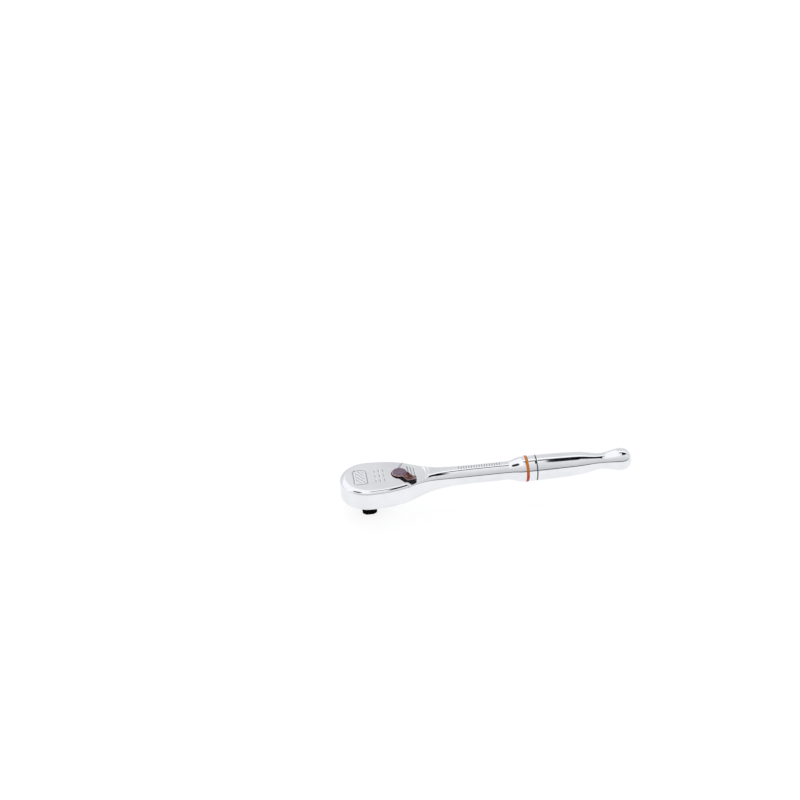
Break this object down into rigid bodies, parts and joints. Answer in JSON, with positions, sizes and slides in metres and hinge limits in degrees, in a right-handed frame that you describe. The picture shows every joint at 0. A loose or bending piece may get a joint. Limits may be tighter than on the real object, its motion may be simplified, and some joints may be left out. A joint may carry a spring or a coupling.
{
  "type": "ratchet wrench",
  "caption": "Polished reversible ratchet wrench with a teardrop head, square drive, thumb lever and a waisted, ringed handle.",
  "frame": {"origin": "centre of the square drive's shoulder, on the drive axis, where a socket's face seats", "axes": "+X along the handle, away from the head; +Z along the drive axis, up to the lever side; +Y to the left seen from above with the handle pointing right"},
  "size_m": [0.1312, 0.025, 0.0198],
  "materials": {
    "polished_chrome": "mirror-polished chrome plate",
    "orange_ring": "orange moulded ring, satin gloss",
    "black_oxide": "black oxide on hardened steel",
    "bearing_steel": "ground hardened steel",
    "spring_steel": "oiled spring steel",
    "plate_steel": "satin steel plate",
    "dark_chrome": "black chrome",
    "seal_rubber": "nitrile rubber"
  },
  "bodies": {
    "handle": {"ratchet_body": "polished_chrome", "handle_ring": "orange_ring", "cover_plate": "plate_steel", "retaining_ring": "spring_steel", "thrust_washer": "plate_steel", "pawl_pin": "bearing_steel"},
    "drive": {"drive_gear": "black_oxide", "detent_spring": "spring_steel", "drive_seal": "seal_rubber"},
    "ball": {"detent_ball": "bearing_steel"},
    "lever": {"reverse_lever": "dark_chrome", "lever_seal": "seal_rubber", "lever_clip": "spring_steel", "upper_plunger_spring": "spring_steel", "lower_plunger_spring": "spring_steel"},
    "pawl_upper": {"upper_pawl": "bearing_steel"},
    "pawl_lower": {"lower_pawl": "bearing_steel"},
    "plunger_upper": {"upper_plunger": "bearing_steel"},
    "plunger_lower": {"lower_plunger": "bearing_steel"}
  },
  "joints": [
    {"name": "drive_spin", "type": "hinge", "parent": "handle", "child": "drive", "pos_m": [0, 0, 0], "axis": [0, 0, 1], "continuous": true},
    {"name": "lever_swing", "type": "hinge", "parent": "handle", "child": "lever", "pos_m": [0.014, 0, 0], "axis": [0, 0, 1], "range_deg": [0, 82]},
    {"name": "upper_pawl_rock", "type": "hinge", "parent": "handle", "child": "pawl_upper", "pos_m": [0.0096, 0, 0], "axis": [0, 0, 1], "range_deg": [-14.01, 0]},
    {"name": "lower_pawl_rock", "type": "hinge", "parent": "handle", "child": "pawl_lower", "pos_m": [0.0096, 0, 0], "axis": [0, 0, 1], "range_deg": [-4.72, 0]},
    {"name": "ball_press", "type": "slide", "parent": "drive", "child": "ball", "axis": [0, -1, 0], "range_m": [0, 0.00045], "stiffness_N_per_m": 800, "deforming": ["detent_spring"]},
    {"name": "upper_plunger_press", "type": "slide", "parent": "lever", "child": "plunger_upper", "axis": [0.7547, -0.6561, 0], "range_m": [0, 0.0003], "stiffness_N_per_m": 300, "deforming": ["upper_plunger_spring"]},
    {"name": "lower_plunger_press", "type": "slide", "parent": "lever", "child": "plunger_lower", "axis": [0.7547, -0.6561, 0], "range_m": [0, 0.0003], "stiffness_N_per_m": 300, "deforming": ["lower_plunger_spring"]}
  ],
  "couplings": [
    {"joint": "upper_pawl_rock", "follows": "lever_swing", "ratio": -0.17073},
    {"joint": "lower_pawl_rock", "follows": "lever_swing", "ratio": -0.057499}
  ]
}
